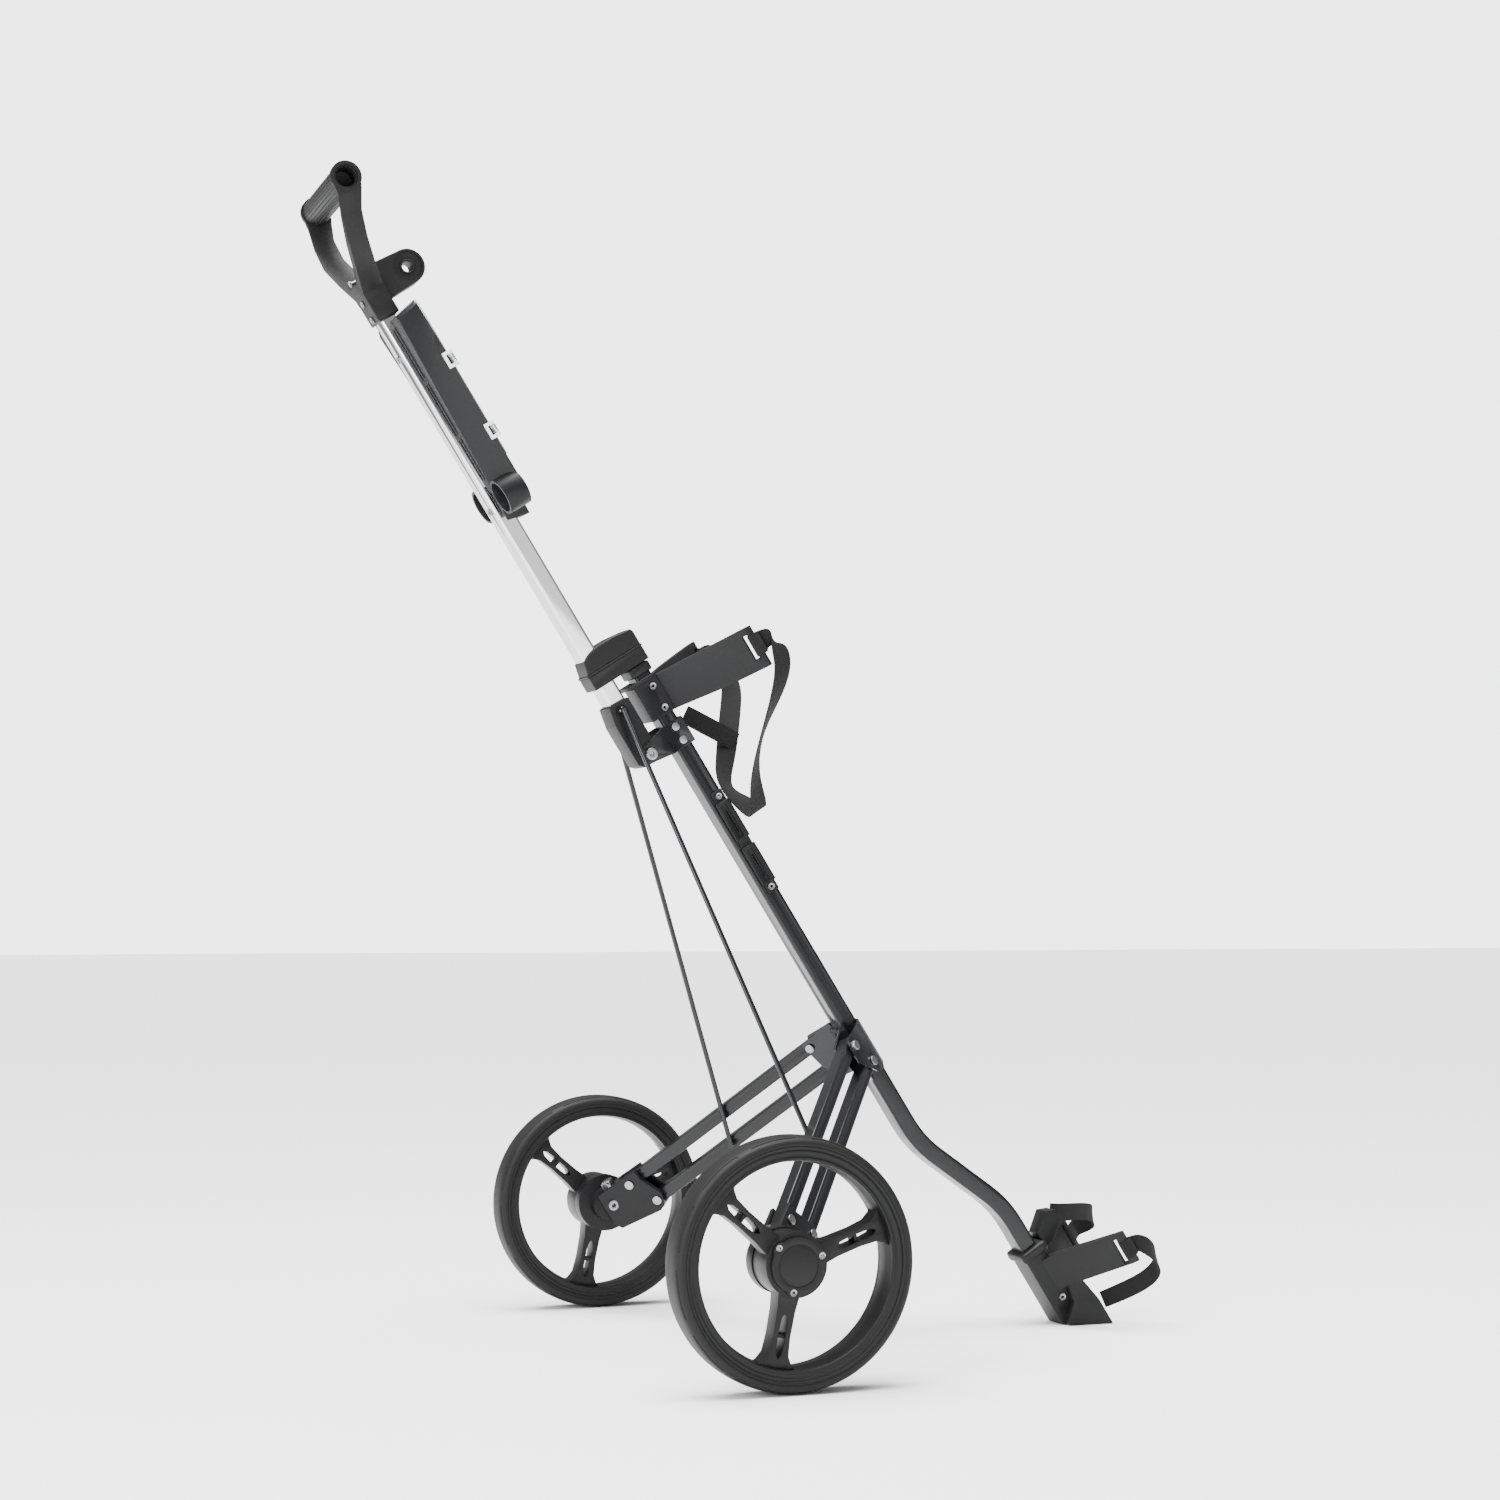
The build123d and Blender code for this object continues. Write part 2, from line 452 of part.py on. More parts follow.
spoke = slab([(24, 12), (45, 9.5), (70, 9), (88, 10.5), (96, 15), (103, 24), (103, -24), (96, -15),
              (88, -10.5), (70, -9), (45, -9.5), (24, -12)], -10, 12)
lens = [(47, 0), (52, 2.9), (60, 3.8), (80, 3.8), (88, 2.9), (92, 0), (88, -2.9), (80, -3.8),
        (60, -3.8), (52, -2.9)]
spoke -= slab(lens, -11, 13) - block((68, 72), (-5, 5), (-10, 8))
rim = turned(rim_section)
spokes = disc(0, 0, 32, -19.5, 18)
for arm_of_wheel in about_hub(spoke & disc(0, 0, 103, -12, 14)):
    spokes += arm_of_wheel
BUSH_OUTER = 9.5
CAP_SCREW = 26.5
spokes -= rim + disc(0, 0, BUSH_OUTER, -20, 19)
for hole in about_hub(disc(CAP_SCREW, 0, SCREW_RADIUS, 10, 19)):
    spokes -= hole
side_parts("rim", WHEEL * rim)
side_parts("spokes", WHEEL * spokes)
side_parts("tyre", WHEEL * turned(tyre_section))

cap = disc(0, 0, 27.5, 18, 23)
for lobe in about_hub(disc(22.5, 0, 8.5, 18, 23)):
    cap += lobe
cap -= disc(0, 0, 9.5, 17, 19.5)
cap -= disc(0, 0, 21, 22.2, 24) - disc(0, 0, 19.5, 22, 25)
for hole in about_hub(disc(CAP_SCREW, 0, SCREW_RADIUS, 17, 24)):
    cap -= hole
for seat in about_hub(disc(CAP_SCREW, 0, 3.6, 21.4, 24)):
    cap -= seat
side_parts("hub_cap", WHEEL * cap)
cap_screws = [WHEEL * s for s in about_hub(screw(CAP_SCREW, 0, 21.4, 11, 3.2, 1.6))]
parts["right_hub_screws"] = Compound(cap_screws)
parts["left_hub_screws"] = Compound([mirror(s, about=Plane.XZ) for s in cap_screws])
bore = disc(0, 0, AXLE_RADIUS + AXLE_FIT, -21, 20)
bushes = [WHEEL * (disc(0, 0, BUSH_OUTER, low, low + 9) - bore) for low in (-19.5, 9)]
parts["right_wheel_bushes"] = Compound(bushes)
parts["left_wheel_bushes"] = Compound([mirror(b, about=Plane.XZ) for b in bushes])

# ---- webbing straps: thin bands looped round the slotted wing tips


def lean(x, y, z):
    """Point measured from the axle line, moved to the cart's own origin."""
    return Vector(x + AXLE_X, y, z)


def crossing(centres, i, across, width, thick):
    """Four corners of the band at one station, square to the way it runs there."""
    along = (centres[min(i + 1, len(centres) - 1)] - centres[max(i - 1, 0)]).normalized()
    side = Vector(*across)
    side = (side - along * side.dot(along)).normalized() * (width / 2)
    face = along.cross(side).normalized() * (thick / 2)
    return [centres[i] + side + face, centres[i] - side + face,
            centres[i] - side - face, centres[i] + side - face]


def triangle(a, b, c):
    return Face(Wire.make_polygon([a, b, c]))


def ribbon(stations, width, thick=1.5):
    """Band through (centre, width direction) stations, closed with flat facets."""
    centres = [centre for centre, across in stations]
    rows = [crossing(centres, i, station[1], width, thick) for i, station in enumerate(stations)]
    first, last = rows[0], rows[-1]
    skins = [triangle(first[0], first[1], first[2]), triangle(first[0], first[2], first[3]),
             triangle(last[2], last[1], last[0]), triangle(last[3], last[2], last[0])]
    for here, there in zip(rows, rows[1:]):
        for k in range(4):
            n = (k + 1) % 4
            skins += [triangle(here[k], there[n], here[n]), triangle(here[k], there[k], there[n])]
    return Solid(Shell(skins))


DOWN_TUBE = (0.536, 0, -0.844)


def eye(s, points, side):
    """Stations round a slotted wing tip; the band lies with its width along the tube."""
    return [(STEM.from_local_coords(Vector(s, out, right * side)), DOWN_TUBE)
            for out, right in points]


def loose(*stations):
    return [(lean(*centre), across) for centre, across in stations]


BAG_EYE = [(110.2, 93.6), (104.6, 97.1), (95.3, 94.7), (103.1, 81.6), (107.5, 84.1), (114, 90), (120, 93)]
BASE_EYE = [(137.3, 76.6), (133.8, 78.7), (127.3, 77.5), (121.6, 72.7), (128.4, 64.4), (138.3, 72.2),
            (144, 77)]
fall = loose(((75, -94, 758), (0.6, 0.1, -0.8)), ((84, -90, 735), (0.9, 0.35, -0.1)),
             ((76, -82, 699), (0.7, 0.7, 0)), ((64, -68, 660), (0.35, 0.95, 0)),
             ((64, -46, 618), (0.6, 0.7, 0.25)), ((77, -27, 588), (0.85, 0.3, 0.4)),
             ((80, -21, 580), (0.85, 0.2, 0.5)), ((77, -16, 579), (0.85, 0.2, 0.5)))
rise = loose(((66, -8, 590), (0.8, 0.25, 0.55)), ((48, 12, 609), (0.6, 0.75, 0.2)),
             ((58, 30, 636), (0.9, 0.3, 0)), ((66, 42, 662), (0.9, -0.3, 0)),
             ((77, 64, 695), (0.9, -0.3, -0.2)), ((88, 84, 730), (0.8, -0.5, -0.4)),
             ((76, 94, 757), (0.6, -0.1, -0.8)))
left_eye = eye(-46.5, BAG_EYE, -1)
left_eye.reverse()
parts["bag_strap"] = ribbon(eye(-46.5, BAG_EYE, 1) + fall + rise + left_eye, 24)
tie_plane = Plane(origin=lean(35, 36, 679), x_dir=(-0.9, 0, 0.43), z_dir=(0.43, 0, 0.9))
tie_loop = slab([(-20, -3.2), (22, -3.2), (27, 0), (22, 3.2), (-14, 3.2), (-14, 1.7), (21.4, 1.7),
                 (24.4, 0), (21.4, -1.7), (-20, -1.7)], -10, 10)
parts["bag_strap_keeper"] = tie_plane * tie_loop

droop = loose(((536, -76, 88), (0.35, 0, -0.94)), ((552, -64, 68), (0.2, -0.3, -0.94)),
              ((545, -46, 50), (0.3, -0.4, -0.8)), ((523, -30, 36), (0.5, -0.3, -0.8)),
              ((501, -20, 26), (0.6, 0, -0.8)))
arch = loose(((534, 68, 104), (0.3, 0, -0.95)), ((528, 50, 118), (0, 0.2, -1)),
             ((500, 34, 121), (0, 0, -1)), ((470, 20, 122), (0, 0, -1)), ((452, 15, 124), (0, 0, -1)))
parts["base_strap_lower"] = ribbon(eye(760, BASE_EYE, 1) + droop, 20)
parts["base_strap_upper"] = ribbon(eye(760, BASE_EYE, -1) + arch, 20)
hook = slab([(706, 68), (690, 90), (696, 102), (708, 104), (716, 92), (724, 80), (724, 68)], -14, 10)
hook = fillet(hook.edges().filter_by(Axis.Z), 1.5)
stem_part("strap_hook", hook - block((700, 703.5), (80, 108), (-12, 8)))

os.makedirs("parts", exist_ok=True)
for name, shape in parts.items():
    export_step(shape, "parts/" + name + ".step")
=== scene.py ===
import json
import math
import bpy
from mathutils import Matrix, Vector

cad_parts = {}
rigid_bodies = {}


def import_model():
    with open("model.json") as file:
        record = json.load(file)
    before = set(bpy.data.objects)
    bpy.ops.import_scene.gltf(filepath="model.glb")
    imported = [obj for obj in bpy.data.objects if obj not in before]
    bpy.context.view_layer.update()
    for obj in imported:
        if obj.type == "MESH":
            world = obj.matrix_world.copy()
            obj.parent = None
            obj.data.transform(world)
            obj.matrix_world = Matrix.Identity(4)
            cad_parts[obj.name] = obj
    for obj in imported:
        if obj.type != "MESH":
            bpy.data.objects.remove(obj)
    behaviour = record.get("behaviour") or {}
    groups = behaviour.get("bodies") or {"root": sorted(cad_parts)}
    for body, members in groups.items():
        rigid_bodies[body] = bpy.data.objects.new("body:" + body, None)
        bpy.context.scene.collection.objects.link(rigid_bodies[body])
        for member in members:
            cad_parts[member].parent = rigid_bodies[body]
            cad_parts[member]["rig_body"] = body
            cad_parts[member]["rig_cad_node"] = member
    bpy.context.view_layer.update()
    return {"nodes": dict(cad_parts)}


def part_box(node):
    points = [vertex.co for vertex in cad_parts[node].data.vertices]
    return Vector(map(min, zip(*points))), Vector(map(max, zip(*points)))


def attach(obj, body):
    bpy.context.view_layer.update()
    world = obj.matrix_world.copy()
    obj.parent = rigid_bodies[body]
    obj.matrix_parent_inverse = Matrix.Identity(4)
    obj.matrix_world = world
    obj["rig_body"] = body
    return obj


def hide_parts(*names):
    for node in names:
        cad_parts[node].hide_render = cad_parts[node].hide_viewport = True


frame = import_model()
nodes = frame["nodes"]

# Frame tube: one rectangular steel tube, bent above the foot and coated in satin black powder.
# The baked coat keeps a fine orange-peel skin with faint cloudy patches.
grain = bpy.data.node_groups.new("Surface Grain", "ShaderNodeTree")
for title, kind, start in (("Colour", "NodeSocketColor", (0.1, 0.1, 0.1, 1)),
                           ("Shift", "NodeSocketFloat", 0.1), ("Roughness", "NodeSocketFloat", 0.4),
                           ("Scale", "NodeSocketFloat", 900.0)):
    socket = grain.interface.new_socket(title, in_out="INPUT", socket_type=kind)
    socket.default_value = start
for title, kind in (("Colour", "NodeSocketColor"), ("Roughness", "NodeSocketFloat"),
                    ("Height", "NodeSocketFloat")):
    grain.interface.new_socket(title, in_out="OUTPUT", socket_type=kind)
given = grain.nodes.new("NodeGroupInput")
result = grain.nodes.new("NodeGroupOutput")
place = grain.nodes.new("ShaderNodeTexCoord")
skin = grain.nodes.new("ShaderNodeTexNoise")
skin.inputs["Detail"].default_value = 4
cloud = grain.nodes.new("ShaderNodeTexNoise")
cloud.inputs["Scale"].default_value = 9
cloud.inputs["Detail"].default_value = 6
grain.links.new(place.outputs["Object"], skin.inputs["Vector"])
grain.links.new(place.outputs["Object"], cloud.inputs["Vector"])
grain.links.new(given.outputs["Scale"], skin.inputs["Scale"])
centred = grain.nodes.new("ShaderNodeMath")
centred.operation = "SUBTRACT"
centred.inputs[1].default_value = 0.5
grain.links.new(cloud.outputs["Fac"], centred.inputs[0])
swing = grain.nodes.new("ShaderNodeMath")
swing.operation = "MULTIPLY_ADD"
grain.links.new(centred.outputs[0], swing.inputs[0])
grain.links.new(given.outputs["Shift"], swing.inputs[1])
swing.inputs[2].default_value = 1.0
tone = grain.nodes.new("ShaderNodeVectorMath")
tone.operation = "SCALE"
grain.links.new(given.outputs["Colour"], tone.inputs[0])
grain.links.new(swing.outputs[0], tone.inputs["Scale"])
grain.links.new(tone.outputs[0], result.inputs["Colour"])
rub = grain.nodes.new("ShaderNodeMath")
rub.operation = "MULTIPLY"
grain.links.new(swing.outputs[0], rub.inputs[0])
grain.links.new(given.outputs["Roughness"], rub.inputs[1])
grain.links.new(rub.outputs[0], result.inputs["Roughness"])
grain.links.new(skin.outputs["Fac"], result.inputs["Height"])
COAT_ROUGHNESS, GRAIN_HEIGHT = 0.12, 0.0004


def finish_with_grain(name, colour, shift, roughness, scale, strength,
                      metallic=0.0, coat=0.0, shine=0.18):
    """Principled material whose colour, roughness and bump come from the surface grain."""
    material = bpy.data.materials.new(name)
    material.use_nodes = True
    tree = material.node_tree
    shader = tree.nodes["Principled BSDF"]
    shader.inputs["Metallic"].default_value = metallic
    shader.inputs["Coat Weight"].default_value = coat
    shader.inputs["Coat Roughness"].default_value = COAT_ROUGHNESS
    shader.inputs["Specular IOR Level"].default_value = shine
    skin = tree.nodes.new("ShaderNodeGroup")
    skin.node_tree = grain
    skin.inputs["Colour"].default_value = (*colour, 1)
    skin.inputs["Shift"].default_value = shift
    skin.inputs["Roughness"].default_value = roughness
    skin.inputs["Scale"].default_value = scale
    bump = tree.nodes.new("ShaderNodeBump")
    bump.inputs["Strength"].default_value = strength
    bump.inputs["Distance"].default_value = GRAIN_HEIGHT
    tree.links.new(skin.outputs["Colour"], shader.inputs["Base Color"])
    tree.links.new(skin.outputs["Roughness"], shader.inputs["Roughness"])
    tree.links.new(skin.outputs["Height"], bump.inputs["Height"])
    tree.links.new(bump.outputs["Normal"], shader.inputs["Normal"])
    return material


def pick_faces(piece, wanted):
    """Select only the faces that the test wants, leaving edit mode on in face mode."""
    bpy.ops.object.mode_set(mode="EDIT")
    bpy.ops.mesh.select_mode(type="FACE")
    bpy.ops.mesh.select_all(action="DESELECT")
    bpy.ops.object.mode_set(mode="OBJECT")
    for face in piece.data.polygons:
        face.select = wanted(face)
    bpy.ops.object.mode_set(mode="EDIT")


WELD_GAP, FLAT_ANGLE, SMOOTH_ANGLE = 0.00002, math.radians(1), math.radians(40)
ROUND_FACE_CORNERS, SOCKET_DEPTH = 10, 0.0009


def eased(name, width, material, segments=2, angle=35, socket=0.0):
    """Moulded or pressed copy of a CAD piece with its edges eased and its faces smoothed."""
    bpy.ops.object.select_all(action="DESELECT")
    piece = nodes[name].copy()
    piece.data = nodes[name].data.copy()
    piece.name = name + "_eased"
    body = nodes[name]["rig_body"]
    piece.parent = None
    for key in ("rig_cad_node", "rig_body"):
        if key in piece:
            del piece[key]
    bpy.context.scene.collection.objects.link(piece)
    bpy.context.view_layer.objects.active = piece
    piece.select_set(True)
    bpy.ops.object.mode_set(mode="EDIT")
    bpy.ops.mesh.select_all(action="SELECT")
    bpy.ops.mesh.remove_doubles(threshold=WELD_GAP)
    bpy.ops.mesh.dissolve_limited(angle_limit=FLAT_ANGLE)
    bpy.ops.object.mode_set(mode="OBJECT")
    if socket:
        pick_faces(piece, lambda face: len(face.vertices) > ROUND_FACE_CORNERS)
        bpy.ops.mesh.inset(thickness=socket, depth=-SOCKET_DEPTH, use_individual=True)
        bpy.ops.object.mode_set(mode="OBJECT")
    round_over = piece.modifiers.new("round", "BEVEL")
    round_over.width = width
    round_over.segments = segments
    round_over.limit_method = "ANGLE"
    round_over.angle_limit = math.radians(angle)
    round_over.use_clamp_overlap = True
    bpy.ops.object.modifier_apply(modifier="round")
    bpy.ops.object.mode_set(mode="EDIT")
    bpy.ops.mesh.select_all(action="SELECT")
    bpy.ops.mesh.quads_convert_to_tris()
    bpy.ops.object.mode_set(mode="OBJECT")
    bpy.ops.object.shade_smooth_by_angle(angle=SMOOTH_ANGLE)
    piece.data.materials.clear()
    piece.data.materials.append(material)
    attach(piece, body)
    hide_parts(name)
    return piece


powder_black = finish_with_grain("powder black", (0.0060, 0.0062, 0.0070), 0.3, 0.30, 1400, 0.22,
                                 0.0, 0.25)
eased("lower_tube", 0.0004, powder_black)

# Top plug, bag bracket with its wings, tee holder and strap hook: dark nylon mouldings with a fine
# sparked texture, held on the tube by zinc-plated screws. The joints turn on zinc-plated rivets.
nylon_dark = finish_with_grain("dark nylon", (0.0062, 0.0063, 0.0069), 0.3, 0.40, 1800, 0.32)
nylon_grey = finish_with_grain("satin nylon", (0.0085, 0.0085, 0.0090), 0.3, 0.44, 1800, 0.32)
zinc = finish_with_grain("bright zinc", (0.30, 0.30, 0.31), 0.2, 0.30, 600, 0.15, 1.0, shine=0.5)
for name in ("tube_top_plug", "bag_bracket", "tee_holder", "strap_hook"):
    eased(name, 0.0007, nylon_dark)
for name in ("bag_bracket_screws", "tee_holder_screws", "base_screws", "handle_screws", "tray_screws"):
    eased(name, 0.0003, zinc, 2, socket=0.0018)
for name in ("u_bracket_rivets", "pivot_bolt", "hub_rivets", "leg_pins"):
    eased(name, 0.0005, zinc, 2)

# Folding joint and hub brackets: pressed from steel sheet and painted blue-black gloss. The yoke is
# riveted to the frame tube, and nylon washers keep the turning faces apart.
gloss_steel = finish_with_grain("gloss black steel", (0.0060, 0.0064, 0.0080), 0.3, 0.20, 900, 0.10,
                                0.0, 0.4)
for name in ("u_bracket", "hub_bracket_outer", "hub_bracket_inner"):
    eased(name, 0.0005, gloss_steel)
eased("pivot_washers", 0.0004, nylon_dark)

# Handle: a chrome-plated steel tube. The folding block at its foot, the fork, the umbrella lug, the
# sliding latch and the foot's base bracket are grey nylon mouldings pushed on and screwed.
chrome = finish_with_grain("chrome plate", (0.72, 0.72, 0.73), 0.12, 0.10, 500, 0.04, 1.0, shine=0.5)
eased("handle_tube", 0.0005, chrome)
for name in ("rod_block", "handle_fork", "umbrella_mount", "umbrella_insert",
             "latch_collar", "latch_hood", "base_bracket"):
    eased(name, 0.0010, nylon_grey, 3)

# Grip: moulded nylon sleeve between the fork arms, with fine grooves along it and a blind hollow
# in each end that shows inside the fork's rings.
GRIP_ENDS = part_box("grip")
grip_x, grip_z = [(GRIP_ENDS[0][i] + GRIP_ENDS[1][i]) / 2 for i in (0, 2)]
GRIP_RADIUS, GRIP_HALF, SPIGOT_RADIUS, HOLLOW_RADIUS = 0.015, 0.0727, 0.0123, 0.0108
SPIGOT_LENGTH, HOLLOW_DEPTH, GRIP_SIDES = 0.0053, 0.022, 96
GROOVE_PITCH, GROOVE_WIDTH = 15, 3.75    # degrees round the sleeve
GROOVE_EDGE, GROOVE_DEPTH, LONG_FACE_AREA = 0.00022, 0.0007, 1e-4
bpy.ops.object.select_all(action="DESELECT")
bpy.ops.mesh.primitive_cylinder_add(vertices=GRIP_SIDES, radius=GRIP_RADIUS, depth=2 * GRIP_HALF,
                                    location=(grip_x, 0, grip_z), rotation=(math.pi / 2, 0, 0))
sleeve = bpy.context.object
sleeve.name = "grip_sleeve"
bpy.ops.object.transform_apply(location=True, rotation=True, scale=True)
for end in (-1, 1):
    pick_faces(sleeve, lambda face: face.normal.y * end > 0.9)
    bpy.ops.mesh.inset(thickness=GRIP_RADIUS - SPIGOT_RADIUS, depth=0)
    bpy.ops.mesh.extrude_region_move(TRANSFORM_OT_translate={"value": (0, end * SPIGOT_LENGTH, 0)})
    bpy.ops.mesh.inset(thickness=SPIGOT_RADIUS - HOLLOW_RADIUS, depth=0)
    bpy.ops.mesh.extrude_region_move(TRANSFORM_OT_translate={"value": (0, -end * HOLLOW_DEPTH, 0)})
    bpy.ops.object.mode_set(mode="OBJECT")


def on_a_groove(face):
    """One long face in every pitch round the sleeve."""
    turn = math.degrees(math.atan2(face.center.z - grip_z, face.center.x - grip_x)) % GROOVE_PITCH
    return abs(face.normal.y) < 0.1 and face.area > LONG_FACE_AREA and 0 < turn < GROOVE_WIDTH


pick_faces(sleeve, on_a_groove)
bpy.ops.mesh.inset(thickness=GROOVE_EDGE, depth=-GROOVE_DEPTH, use_individual=True)
bpy.ops.object.mode_set(mode="OBJECT")
ends = sleeve.modifiers.new("soft edges", "BEVEL")
ends.width = 0.0006
ends.segments = 2
ends.angle_limit = math.radians(55)
bpy.ops.object.modifier_apply(modifier="soft edges")
bpy.ops.object.shade_smooth_by_angle(angle=math.radians(35))
sleeve.data.materials.append(nylon_grey)
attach(sleeve, "handle")
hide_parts("grip")

# Scorecard console: a dark nylon tray screwed to the handle, under a hinged cover moulded in clear
# plastic. Two white clips hold the cover shut.
eased("scorecard_tray", 0.0008, nylon_dark)
clip_white = finish_with_grain("clip white", (0.82, 0.83, 0.83), 0.05, 0.25, 700, 0.05)
eased("cover_clips", 0.0003, clip_white)
clear = finish_with_grain("clear cover", (0.93, 0.95, 0.95), 0.04, 0.06, 300, 0.02, shine=0.5)
glass = clear.node_tree.nodes["Principled BSDF"]
glass.inputs["Transmission Weight"].default_value = 1.0
glass.inputs["IOR"].default_value = 1.46
eased("scorecard_cover", 0.0004, clear)

# Legs and stay rods on each side: square steel links in black powder coat, a bent wire rod painted
# gloss black, and a nylon bracket that carries the zinc-plated axle and the button that frees it.
for side in ("right", "left"):
    for name in ("_leg_upper", "_leg_lower"):
        eased(side + name, 0.0004, powder_black)
    for name in ("_bracket_pins", "_axle", "_release_button"):
        eased(side + name, 0.0004, zinc)
    eased(side + "_stay_rod", 0.0002, gloss_steel)
    eased(side + "_wheel_bracket", 0.0010, nylon_dark, 3)

# Wheels: a nylon rim and spokes in one moulding, with a solid rubber tyre pressed on. The hub cap is
# held by three screws, and the hub turns on acetal bushes.
rubber = finish_with_grain("tyre rubber", (0.0080, 0.0079, 0.0078), 0.25, 0.55, 1500, 0.25)
rim_nylon = finish_with_grain("rim nylon", (0.0070, 0.0070, 0.0073), 0.25, 0.38, 1800, 0.28)
acetal = finish_with_grain("acetal", (0.6, 0.6, 0.58), 0.05, 0.4, 900, 0.1)
AXLE_HEIGHT = 0.125


def turned_ring(name, middle, profile, count):
    """Ring about the axle line, stepped through (radius, distance outboard) points and closed."""
    x, y, z = middle
    radius, out = profile[0]
    bpy.ops.object.select_all(action="DESELECT")
    bpy.ops.mesh.primitive_circle_add(vertices=count, radius=radius, location=(x, y + out, z),
                                      rotation=(math.pi / 2, 0, 0))
    ring = bpy.context.object
    ring.name = name
    bpy.ops.object.transform_apply(location=True, rotation=True, scale=True)
    bpy.ops.object.mode_set(mode="EDIT")
    bpy.ops.mesh.select_mode(type="EDGE")
    bpy.ops.mesh.select_all(action="SELECT")
    for next_radius, next_out in profile[1:] + profile[:1]:
        bpy.ops.mesh.extrude_region_move(TRANSFORM_OT_translate={"value": (0, next_out - out, 0)})
        grow = next_radius / radius
        bpy.ops.transform.resize(value=(grow, 1, grow), center_override=(x, y + next_out, z))
        radius, out = next_radius, next_out
    bpy.ops.mesh.select_all(action="SELECT")
    bpy.ops.mesh.remove_doubles(threshold=0.00001)
    bpy.ops.mesh.normals_make_consistent(inside=False)
    bpy.ops.object.mode_set(mode="OBJECT")
    return ring


def both_ways(half):
    """Closed section from its outboard half."""
    return half + [(radius, -out) for radius, out in reversed(half)]


def finish_ring(ring, material, body, node):
    """Ease and smooth a turned ring, and let it stand for its CAD node."""
    soft = ring.modifiers.new("soft edges", "BEVEL")
    soft.width = 0.0003
    soft.segments = 2
    soft.angle_limit = math.radians(30)
    bpy.ops.object.modifier_apply(modifier="soft edges")
    bpy.ops.object.shade_smooth_by_angle(angle=SMOOTH_ANGLE)
    ring.data.materials.append(material)
    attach(ring, body)
    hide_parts(node)


TYRE_HALF = [(0.1050, 0.0163), (0.1115, 0.0163), (0.1115, 0.0200), (0.1122, 0.0214), (0.1136, 0.0222),
             (0.1149, 0.0222), (0.1152, 0.0215), (0.1156, 0.0222), (0.1176, 0.0224), (0.1203, 0.0213),
             (0.1222, 0.0196), (0.1238, 0.0163), (0.1247, 0.0120), (0.1250, 0.0060)]
RIM_HALF = [(0.0995, 0.0060), (0.1012, 0.0120), (0.1013, 0.0186), (0.1022, 0.0200), (0.1042, 0.0200),
            (0.1046, 0.0194), (0.1082, 0.0194), (0.1086, 0.0200), (0.1115, 0.0200), (0.1115, 0.0163),
            (0.1050, 0.0163)]
RIM_SIDES, TREAD_COUNT, TREAD_PITCH, SLASH_FACES = 120, 144, 12, 9
SLASH_INNER, SLASH_OUTER, SLASH_OUT = 0.1215, 0.1240, 0.0140
SLASH_EDGE, SLASH_DEPTH = 0.0006, 0.0009


def on_a_slash(face):
    """Long shallow slashes on both shoulders of the tread, nine faces in every twelve."""
    across = face.center.x - wheel_middle[0], face.center.z - wheel_middle[2]
    reach, out = math.hypot(*across), abs(face.center.y - wheel_middle[1])
    step = math.floor(math.degrees(math.atan2(across[1], across[0])) % 360 * TREAD_COUNT / 360)
    return SLASH_INNER < reach < SLASH_OUTER and out > SLASH_OUT and step % TREAD_PITCH < SLASH_FACES


for side in ("right", "left"):
    low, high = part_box(side + "_tyre")
    wheel_middle = ((low[0] + high[0]) / 2, (low[1] + high[1]) / 2, AXLE_HEIGHT)
    finish_ring(turned_ring(side + "_rim_ring", wheel_middle, both_ways(RIM_HALF), RIM_SIDES),
                rim_nylon, side + "_wheel", side + "_rim")
    tyre = turned_ring(side + "_tyre_tread", wheel_middle, both_ways(TYRE_HALF), TREAD_COUNT)
    pick_faces(tyre, on_a_slash)
    bpy.ops.mesh.inset(thickness=SLASH_EDGE, depth=-SLASH_DEPTH)
    bpy.ops.object.mode_set(mode="OBJECT")
    finish_ring(tyre, rubber, side + "_wheel", side + "_tyre")
    eased(side + "_hub_screws", 0.0003, zinc, socket=0.0016)
    eased(side + "_spokes", 0.0010, rim_nylon, 3)
    eased(side + "_hub_cap", 0.0006, rim_nylon, 3)
    eased(side + "_wheel_bushes", 0.0003, acetal)

# Bag strap: flat black webbing, woven in fine ribs, passed through the slotted wing tips and left to
# hang between them. A short keeper loop is sewn to it.
weave = bpy.data.node_groups.new("Webbing Weave", "ShaderNodeTree")
weave.interface.new_socket("Colour", in_out="INPUT", socket_type="NodeSocketColor")
weave.interface.new_socket("Colour", in_out="OUTPUT", socket_type="NodeSocketColor")
weave.interface.new_socket("Height", in_out="OUTPUT", socket_type="NodeSocketFloat")
given = weave.nodes.new("NodeGroupInput")
result = weave.nodes.new("NodeGroupOutput")
strip = weave.nodes.new("ShaderNodeTexCoord")
ribs = weave.nodes.new("ShaderNodeTexWave")
ribs.wave_type = "BANDS"
ribs.bands_direction = "Y"
ribs.inputs["Scale"].default_value = 320
ribs.inputs["Distortion"].default_value = 0.6
warp = weave.nodes.new("ShaderNodeTexWave")
warp.wave_type = "BANDS"
warp.bands_direction = "X"
warp.inputs["Scale"].default_value = 260
weave.links.new(strip.outputs["UV"], ribs.inputs["Vector"])
weave.links.new(strip.outputs["UV"], warp.inputs["Vector"])
cross = weave.nodes.new("ShaderNodeMath")
cross.operation = "MULTIPLY"
weave.links.new(ribs.outputs["Fac"], cross.inputs[0])
weave.links.new(warp.outputs["Fac"], cross.inputs[1])
